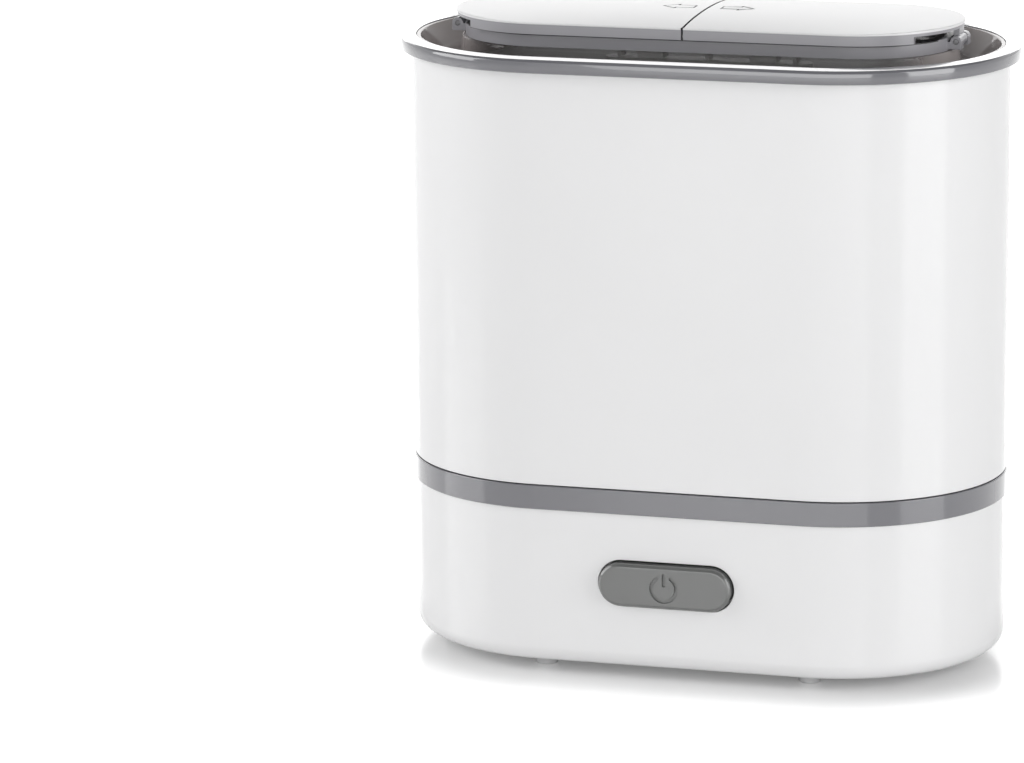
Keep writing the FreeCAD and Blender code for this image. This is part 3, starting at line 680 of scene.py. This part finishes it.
def sweep_oval(end_centre):
    """Carry the selected outline round an oval, from the left end of its front side."""
    bpy.ops.transform.translate(value=(-end_centre, 0, 0))
    straight(-end_centre, end_centre)
    half_turn(end_centre)
    straight(end_centre, -end_centre)
    half_turn(-end_centre)


def oval_ring(name, wall, end_centre, corners, steps=4):
    """A ring with straight sides and round ends, drawn from its section."""
    piece = section(name, wall, corners, steps)
    sweep_oval(end_centre)
    return tidy(piece)


grey_plastic = moulded_plastic("glossy_grey_plastic", grey_colour, 0.12, polish=1.0)
band = oval_ring("trim_band", body_wall, body_end, [
    (band_proud, band_low.z, band_edge),
    (band_proud, band_top, band_edge),
    (-lip_inset, band_top, 0.0003),
    (-lip_inset, band_high.z, lip_edge),
    (band_proud - band_thickness, band_high.z, lip_edge),
    (band_proud - band_thickness, band_low.z, 0.0003),
])
finish(band, grey_plastic, "base", "grey_trim", "base_band")


# Power button: a satin grey key that stands a little proud of the base. It is one hollow moulding
# with a sloped border round a flat face, a sunk standby sign and a flange that keeps it in.
key_low, key_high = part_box("power_button")
key_front = key_low.y
key_back = key_high.y
key_centre = (key_low.z + key_high.z) / 2
key_flange = 0.0012
key_play = 0.00035
key_radius = (key_high.z - key_low.z) / 2 - key_flange - key_play
key_reach = (key_high.x - key_low.x) / 2 - key_flange - key_play - key_radius
key_slope_width = 0.0011
key_slope_drop = 0.0009
key_outer_round = 0.0005
key_inner_round = 0.00035
key_side_wall = 0.0018
key_face_wall = 0.0022
key_flange_front = key_back - 0.0022
stem_radius = 0.0035
sign_drop = 0.0005
sign_centre = key_centre - sign_drop
sign_radius = 0.00485
sign_groove = 0.00065
sign_gap = 34.0
sign_bar_low = 0.0009
sign_bar_high = 0.0061
sign_depth = 0.0011
sign_edge = 0.0001
overrun = 0.001


def arc(x, z, radius, start, end, steps):
    """Places (x, z) round an arc, between two angles in degrees."""
    angles = [math.radians(start + (end - start) * number / steps) for number in range(steps + 1)]
    return [(x + radius * math.cos(angle), z + radius * math.sin(angle)) for angle in angles]


def facing_oval(radius, reach, centre):
    """Places (x, z) round an oval that lies along X."""
    return arc(reach, centre, radius, -90, 90, 24) + arc(-reach, centre, radius, 90, 270, 24)


def upright_block(name, places, front, back):
    """A block of the outline (x, z), from one depth to another."""
    piece = outline(name, [Vector((x, front, z)) for x, z in places])
    bpy.ops.mesh.extrude_region_move(TRANSFORM_OT_translate={"value": (0, back - front, 0)})
    bpy.ops.mesh.select_all(action="SELECT")
    bpy.ops.mesh.normals_make_consistent(inside=False)
    return piece


def cut(piece, tool):
    """Cut a tool's shape out of a piece, and throw the tool away."""
    apply_modifier(piece, "BOOLEAN", operation="DIFFERENCE", solver="EXACT", object=tool)
    bpy.data.objects.remove(tool)


def key_cap():
    """The key itself, hollow from behind, with its sloped and rounded border."""
    slope_front = key_front + key_slope_drop
    places = facing_oval(key_radius, key_reach, key_centre)
    key = upright_block("power_key", places, slope_front, key_back)
    choose(key, "FACE", lambda face: level(face, 1, slope_front))
    bpy.ops.mesh.inset(thickness=key_slope_width, depth=key_slope_drop)
    choose(key, "EDGE", lambda edge: level(edge, 1, slope_front))
    bpy.ops.mesh.bevel(offset=key_outer_round, segments=4, affect="EDGES")
    choose(key, "EDGE", lambda edge: level(edge, 1, key_front))
    bpy.ops.mesh.bevel(offset=key_inner_round, segments=4, affect="EDGES")
    choose(key, "FACE", lambda face: level(face, 1, key_back))
    bpy.ops.mesh.inset(thickness=key_side_wall)
    hollow = key_front + key_face_wall - key_back
    bpy.ops.mesh.extrude_region_move(TRANSFORM_OT_translate={"value": (0, hollow, 0)})
    bpy.ops.object.mode_set(mode="OBJECT")
    return key


def sign_tools():
    """The ring and the bar of the standby sign, with rounded ends."""
    start = 90.0 + sign_gap
    end = 450.0 - sign_gap
    half = sign_groove
    outer = arc(0.0, sign_centre, sign_radius + half, start, end, 60)
    inner = arc(0.0, sign_centre, sign_radius - half, end, start, 60)
    tips = arc(0.0, sign_centre, sign_radius, start, end, 1)
    far_tip = arc(*tips[1], half, end, end + 180.0, 8)[1:-1]
    near_tip = arc(*tips[0], half, start + 180.0, start + 360.0, 8)[1:-1]
    bar_top = sign_centre + sign_bar_high - half
    bar_low = sign_centre + sign_bar_low + half
    bar = arc(0.0, bar_top, half, 0, 180, 8) + arc(0.0, bar_low, half, 180, 360, 8)
    return [("sign_ring", outer + far_tip + inner + near_tip), ("sign_bar", bar)]


def sink_sign(key):
    """Sink the sign in the key's face and break the edges of its grooves."""
    for name, places in sign_tools():
        tool = upright_block(name, places, key_front - overrun, key_front + sign_depth)
        bpy.ops.object.mode_set(mode="OBJECT")
        cut(key, tool)
    centre = Vector((0.0, key_front, sign_centre))
    reach = sign_radius + 2 * sign_groove

    def on_groove(edge):
        if edge.is_boundary or not level(edge, 1, key_front):
            return False
        near = all((vertex.co - centre).length < reach for vertex in edge.verts)
        return near and edge.calc_face_angle(0.0) > 0.5

    bpy.ops.object.mode_set(mode="EDIT")
    choose(key, "EDGE", on_groove)
    bpy.ops.mesh.bevel(offset=sign_edge, segments=2, affect="EDGES")
    return tidy(key)


def key_parts():
    """The key with the flange that holds it in and the stem that pushes the switch."""
    key = sink_sign(key_cap())
    flange_places = facing_oval(key_radius + key_play + key_flange, key_reach, key_centre)
    flange = upright_block("key_flange", flange_places, key_flange_front, key_flange_front + key_flange)
    choose(flange, "FACE", lambda face: len(face.verts) > 4)
    bpy.ops.mesh.inset(thickness=key_flange + key_side_wall)
    bpy.ops.mesh.bridge_edge_loops()
    tidy(flange)
    stem_places = arc(0.0, key_centre, stem_radius, 0, 345, 23)
    stem = upright_block("key_stem", stem_places, key_front + overrun, key_back)
    tidy(stem)
    return join([key, flange, stem], "power_key")


satin_grey = moulded_plastic("satin_grey_plastic", (0.108, 0.111, 0.108), 0.36, 0.08, polish=1.0)
finish(key_parts(), satin_grey, "button", "button_plastic", "power_button")


# Tub: the tall white wall that holds the rack and the bottles. It is open at both ends, with a ledge
# inside for the rack, and its foot drops over the band's upstand.
tub_wall = 0.0022
ledge_height = 0.0085
ledge_thickness = 0.0024
ledge_width = 0.0068
ledge_low = tub_low.z + ledge_height
ledge_top = ledge_low + ledge_thickness
tub_edge = 0.0005
tub = oval_ring("tub_shell", body_wall, body_end, [
    (0.0, tub_low.z, tub_edge / 2),
    (0.0, tub_high.z, tub_edge),
    (-tub_wall, tub_high.z, tub_edge),
    (-tub_wall, ledge_top, 0.0003),
    (-tub_wall - ledge_width, ledge_top, 0.0005),
    (-tub_wall - ledge_width, ledge_low, 0.0005),
    (-tub_wall, ledge_low, 0.0003),
    (-tub_wall, tub_low.z, tub_edge),
])
finish(tub, white_plastic, "tub", "white_shell", "tub")


# Rack: a perforated plate with six round wells, two posts and a handle, all in satin white plastic.
# It lies on the tub's ledge and is lifted out by the handle, which carries two glossy grip pads.
satin_white = moulded_plastic("satin_white_plastic", (0.74, 0.74, 0.735), 0.34, 0.1, 0.00002, 0.000004)
rack = rounded_copy("rack_base", "bottle_rack", 0.0004)
finish(rack, satin_white, "rack", "rack_plastic", "rack_base")
posts = rounded_copy("rack_posts", "handle_posts", 0.0004)
finish(posts, satin_white, "rack", "rack_plastic", "rack_posts")
handle = rounded_copy("rack_handle", "lifting_handle", 0.0003)
finish(handle, satin_white, "rack", "rack_plastic", "rack_handle")
grips = rounded_copy("handle_grips", "grip_pads", 0.0003)
pad_white = moulded_plastic("glossy_pad_white", (0.86, 0.86, 0.85), 0.25, 0.05)
finish(grips, pad_white, "rack", "rack_plastic", "handle_grips")


# Lid rim: the grey flange that overhangs the tub and carries the whole lid. It is moulded in glossy
# plastic and its top is rounded over on both sides.
rim_low, rim_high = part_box("lid_rim")
rim_out = rim_high.y - body_wall
rim_width = 0.006
rim_edge = 0.0004
rim_foot_in = 0.0003
rim_swell = rim_low.z + 0.0022
rim_shoulder = rim_high.z - 0.0006
rim_shoulder_in = 0.00035
rim = oval_ring("rim_flange", body_wall, body_end, [
    (rim_out - rim_foot_in, rim_low.z, rim_edge),
    (rim_out, rim_swell, 0.0012),
    (rim_out - rim_shoulder_in, rim_shoulder, 0.001),
    (rim_out - rim_width, rim_high.z, rim_edge),
    (rim_out - rim_width, rim_low.z, rim_edge),
], steps=6)
finish(rim, grey_plastic, "lid", "grey_trim", "lid_rim")


# Lid tray: a trough all round a raised middle, moulded in clear plastic that is tinted smoky brown.
# It hangs in the rim, and its large mouth lets a hand or steam through when the flaps are open.
tray_low, tray_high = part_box("lid_tray")
collar_low, collar_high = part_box("lid_collar")
flap_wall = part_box("right_flap_skirt")[1].y
cap_low, cap_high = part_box("right_flap_cap")
flap_end = cap_high.x - cap_high.y
tray_wall = 0.0016
tray_edge = 0.0004
tray_round = 0.0012
tray_painted_light_from = 0.074
tray_painted_light_to = 0.1
tray_out = tray_high.y - body_wall
tray_draft = 0.00345
tray_fall = 0.002
floor_top = tray_low.z + tray_wall
hill_top = collar_low.z
hill_out = -0.0021
hill_draft = 0.0013
collar_inset = flap_wall - collar_high.y
collar_wall = 0.0053
mouth_play = 0.0002
mouth_out = -collar_inset - collar_wall - mouth_play
basin_floor_reach = 0.002
hill_floor_reach = 0.004


def smoked_plastic():
    """Nearly clear along the sides, and painted paler and denser round the two ends, as painted light for
    the open trough there, which catches more light than the shaded middle.
    """
    made, shader, place = material("smoked_clear_plastic", (0.12, 0.105, 0.1), 0.05)
    streak = noise(place, 14.0, 3.0)
    tint = streak.blend((0.06, 0.052, 0.05), (0.1, 0.086, 0.083))
    # Painted light: the two ends are painted paler and made denser, standing in for the light that falls
    # on the open trough there.
    ends = place.part(0).size().ramp(tray_painted_light_from, tray_painted_light_to)
    ends.blend(tint, (0.62, 0.57, 0.56)).into(shader.inputs["Base Color"])
    (streak * 0.04 + ends * 0.6 + 0.12).into(shader.inputs["Alpha"])
    (noise(place, 500.0, 3.0) * 0.03 + 0.03).into(shader.inputs["Roughness"])
    bumped(noise(place, 35.0, 1.0), 0.00005).into(shader.inputs["Normal"])
    return made


def open_profile(name, wall, end_centre, corners, gap):
    """Sweep a section round an oval and leave it open along the edge between its last two corners."""
    piece = section(name, wall, corners)
    choose(piece, "EDGE", gap)
    bpy.ops.mesh.delete(type="EDGE")
    bpy.ops.mesh.select_all(action="SELECT")
    sweep_oval(end_centre)
    bpy.ops.mesh.select_all(action="SELECT")
    bpy.ops.mesh.remove_doubles(threshold=merge_distance)
    bpy.ops.object.mode_set(mode="OBJECT")
    return piece


def lid_tray():
    """The outer basin and the raised middle, joined along their floors."""
    inner_low = tray_out - tray_draft
    shelf = inner_low - tray_fall - basin_floor_reach
    basin = open_profile("basin", body_wall, body_end, [
        (tray_out, tray_high.z, tray_edge),
        (tray_out - tray_wall, tray_high.z, tray_edge),
        (inner_low - tray_wall, floor_top, tray_wall),
        (shelf, floor_top, 0.0),
        (shelf, tray_low.z, 0.0),
        (inner_low, tray_low.z, tray_fall),
    ], lambda edge: level(edge, 1, -body_wall - shelf))
    foot = hill_out + hill_draft + hill_floor_reach
    hill = open_profile("hill", flap_wall, flap_end, [
        (foot, tray_low.z, 0.0),
        (foot, floor_top, 0.0),
        (hill_out + hill_draft, floor_top, tray_round),
        (hill_out, hill_top, 0.0005),
        (mouth_out, hill_top, tray_edge),
        (mouth_out, hill_top - tray_wall, tray_edge),
        (hill_out - tray_wall, hill_top - tray_wall, tray_edge),
        (hill_out + hill_draft - tray_wall, tray_low.z, tray_round),
    ], lambda edge: level(edge, 1, -flap_wall - foot))
    tray = join([basin, hill], "smoked_tray")
    bpy.ops.object.mode_set(mode="EDIT")
    for height in (floor_top, tray_low.z):
        choose(tray, "EDGE", lambda edge: edge.is_boundary and level(edge, 2, height))
        bpy.ops.mesh.bridge_edge_loops()
    return tidy(tray)


finish(lid_tray(), smoked_plastic(), "lid", "smoked_plastic", "lid_tray")


# Lid seal: a thin silicone lip under the rim that slides down inside the tub and keeps the steam in.
seal_low, seal_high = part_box("lid_seal")
seal_out = seal_high.y - body_wall
seal_width = 0.001
seal = oval_ring("lid_lip_seal", body_wall, body_end, [
    (seal_out, seal_low.z, 0.0004),
    (seal_out, seal_high.z, 0.0001),
    (seal_out - seal_width, seal_high.z, 0.0001),
    (seal_out - seal_width, seal_low.z, 0.0004),
])
finish(seal, silicone, "lid", "silicone", "lid_seal")


# Collar and hinge pins: a satin grey frame round the mouth that the flaps close on, with a pair of
# lugs at each end, and a darkened steel pin through each pair.
# The frame's grey is painted lighter than the trim's grey. This is painted light that makes up for the
# shade in the trough under the flaps. Its satin finish is its own.
frame_grey_painted_light = moulded_plastic("satin_grey_frame", (0.325, 0.322, 0.343), 0.24, 0.05)
collar_height = 0.0049
collar_top = collar_low.z + collar_height
seam_shadow_reach = 0.0006
seam_shadow_end = 0.092
seam_shadow_colour = (0.02, 0.02, 0.022)
frame_edge = 0.0004


def paint_seam_shadow(look, height):
    """Paint a narrow line of shadow round a plastic at one height, the shade under the skirts' lower
    edge, but not at the hinges.
    """
    shader = look.node_tree.nodes["Principled BSDF"]
    colour = Signal(shader.inputs["Base Color"].links[0].from_socket)
    place = Signal(look.node_tree.nodes.new("ShaderNodeTexCoord").outputs["Object"])
    away = (place.part(2) - height).size().ramp(0.5 * seam_shadow_reach, seam_shadow_reach)
    at_hinge = place.part(0).size().ramp(seam_shadow_end, seam_shadow_end + seam_shadow_reach)
    away.most(at_hinge).blend(seam_shadow_colour, colour).into(shader.inputs["Base Color"])


# Painted shadow: the collar's grey is darkened in a thin line at its top, where the skirts overhang it.
paint_seam_shadow(frame_grey_painted_light, collar_top)
collar = rounded_copy("lid_collar", "mouth_collar", frame_edge)
finish(collar, frame_grey_painted_light, "lid", "grey_trim", "lid_collar")
pins = rounded_copy("hinge_pins", "flap_pins", 0.0002)
pin_steel = plated_steel("darkened_steel", (0.2, 0.2, 0.205), (0.14, 0.14, 0.145))
finish(pins, pin_steel, "lid", "screw_steel", "hinge_pins")


# Flap skirts: the grey lower half of each flap, a moulded rim with a cross wall at the split, a cut
# for the hinge at its outer end, and the hinge knuckle.
for side in ("left", "right"):
    skirt = rounded_copy(side + "_flap_skirt", side + "_skirt", frame_edge)
    finish(skirt, frame_grey_painted_light, side + "_flap", "grey_trim", side + "_flap_skirt")


# Flap caps: the satin white upper half of each flap, a low dome that is highest along its middle line
# and falls a little towards its outer end. A sunk arrow on each points the way that it opens.
cap_split = cap_low.x
cap_wall = cap_high.y
cap_edge_height = 0.0005
cap_end_fall = 0.0017
cap_power = 2.1
cap_edge_round = 0.0006
cap_steps = 16
split_edge = 0.0002
arrow_start = 0.0056
arrow_neck = 0.0126
arrow_tip = 0.0173
arrow_shaft = 0.0025
arrow_head = 0.0042
arrow_groove = 0.0006
arrow_tip_reach = 1.6
arrow_depth = 0.0008
arrow_margin = 0.003
groove_least = 0.00005
hair_width = 0.00002
cap_white = moulded_plastic("satin_white_cap", white_colour, 0.33, 0.04)
# The split's walls and the arrow's groove are painted near-black grey as painted shade, for the shade
# that falls in the gap and in the groove.
painted_shade_grey = moulded_plastic("matt_painted_shade_grey", (0.03, 0.03, 0.033), 0.6, 0.1)


def crown_height(x, y):
    """Height of the dome's surface over a place in plan."""
    edge = cap_low.z + cap_edge_height
    rise = cap_high.z - edge - cap_end_fall * (x / cap_high.x) ** 2
    return edge + rise * (1.0 - min(abs(y) / cap_wall, 1.0) ** cap_power)


def arrow_tool():
    """A moat round an arrow, deepest along the arrow itself."""
    wide = arrow_groove
    tip = arrow_tip + arrow_tip_reach * wide
    corners = [
        (arrow_start - wide, -arrow_shaft - wide),
        (arrow_neck - wide, -arrow_shaft - wide),
        (arrow_neck - wide, -arrow_head - 2 * wide),
        (tip, 0.0),
        (arrow_neck - wide, arrow_head + 2 * wide),
        (arrow_neck - wide, arrow_shaft + wide),
        (arrow_start - wide, arrow_shaft + wide),
    ]
    over = cap_high.z + overrun
    tool = outline("arrow_tool", [Vector((x, y, over)) for x, y in corners])
    bpy.ops.mesh.inset(thickness=wide)
    bpy.ops.mesh.delete(type="FACE")
    bpy.ops.mesh.select_all(action="SELECT")
    surface = crown_height(arrow_neck, 0.0)
    bpy.ops.mesh.extrude_region_move(TRANSFORM_OT_translate={"value": (0, 0, surface - over)})
    outer = [Vector((x, y, surface)) for x, y in corners]

    def at_inner_foot(vertex):
        on_surface = abs(vertex.co.z - surface) < level_margin
        return on_surface and min((vertex.co - place).length for place in outer) > level_margin

    choose(tool, "VERT", at_inner_foot)
    bpy.ops.transform.translate(value=(0, 0, -arrow_depth))
    bpy.ops.mesh.select_all(action="SELECT")
    bpy.ops.mesh.normals_make_consistent(inside=False)
    bpy.ops.object.mode_set(mode="OBJECT")
    return tool


def right_cap():
    """A flat-topped slab of the flap's outline, drawn up into the dome and then cut for the arrow."""
    corners = [(-cap_wall, cap_low.z, 0.0), (0.0, cap_low.z, 0.0), (0.0, cap_high.z, cap_edge_round)]
    corners += [(-cap_wall * number / cap_steps, cap_high.z, 0.0) for number in range(1, cap_steps + 1)]
    cap = section("right_cap", cap_wall, corners)
    choose(cap, "EDGE", lambda edge: level(edge, 1, 0.0))
    bpy.ops.mesh.delete(type="EDGE")
    bpy.ops.mesh.select_all(action="SELECT")
    bpy.ops.transform.translate(value=(cap_split, 0, 0))
    straight(cap_split, flap_end, cap_steps)
    half_turn(flap_end)
    straight(flap_end, cap_split, cap_steps)
    bpy.ops.mesh.select_all(action="SELECT")
    bpy.ops.mesh.remove_doubles(threshold=merge_distance)
    bpy.ops.object.mode_set(mode="OBJECT")
    full = cap_high.z - cap_low.z
    for vertex in cap.data.vertices:
        share = (vertex.co.z - cap_low.z) / full
        vertex.co.z = cap_low.z + share * (crown_height(vertex.co.x, vertex.co.y) - cap_low.z)
    bpy.ops.object.mode_set(mode="EDIT")
    choose(cap, "EDGE", lambda edge: edge.is_boundary and level(edge, 0, cap_split))
    bpy.ops.mesh.edge_face_add()
    choose(cap, "EDGE", lambda edge: level(edge, 0, cap_split)
           and min(vertex.co.z for vertex in edge.verts) > cap_low.z + hair_width)
    bpy.ops.mesh.bevel(offset=split_edge, segments=3, affect="EDGES")
    tidy(cap)
    cut(cap, arrow_tool())
    shade(cap)
    return cap


def mirrored(piece, name):
    """The same piece for the other side, as its own mesh."""
    twin = piece.copy()
    twin.data = piece.data.copy()
    twin.name = name
    bpy.context.scene.collection.objects.link(twin)
    twin.data.transform(Matrix.Scale(-1.0, 4, (1.0, 0.0, 0.0)))
    take_up(twin)
    bpy.ops.object.mode_set(mode="EDIT")
    bpy.ops.mesh.customdata_custom_splitnormals_clear()
    return tidy(twin)


def in_a_line(place, facing):
    """True for the cap's wall at the split and for the groove round the arrow."""
    x, y, z = place
    at_split = abs(x) < cap_split + hair_width and abs(facing.x) > 0.9
    along_arrow = arrow_start - arrow_margin < abs(x) < arrow_tip + arrow_margin
    across_arrow = abs(y) < arrow_head + arrow_margin
    sunk = cap_low.z + groove_least < z < crown_height(x, y) - groove_least
    return at_split or (along_arrow and across_arrow and sunk)


def paint_shade_in_lines(piece):
    """Paint shade in a near-black grey on the faces of a finished cap at the split and in the groove
    round the arrow.
    """
    piece.data.materials.append(painted_shade_grey)
    for face in piece.data.polygons:
        if in_a_line(face.center, face.normal):
            face.material_index = 1


cap = right_cap()
other_cap = mirrored(cap, "left_cap")
finish(cap, cap_white, "right_flap", "white_shell", "right_flap_cap")
finish(other_cap, cap_white, "left_flap", "white_shell", "left_flap_cap")
paint_shade_in_lines(cap)
paint_shade_in_lines(other_cap)
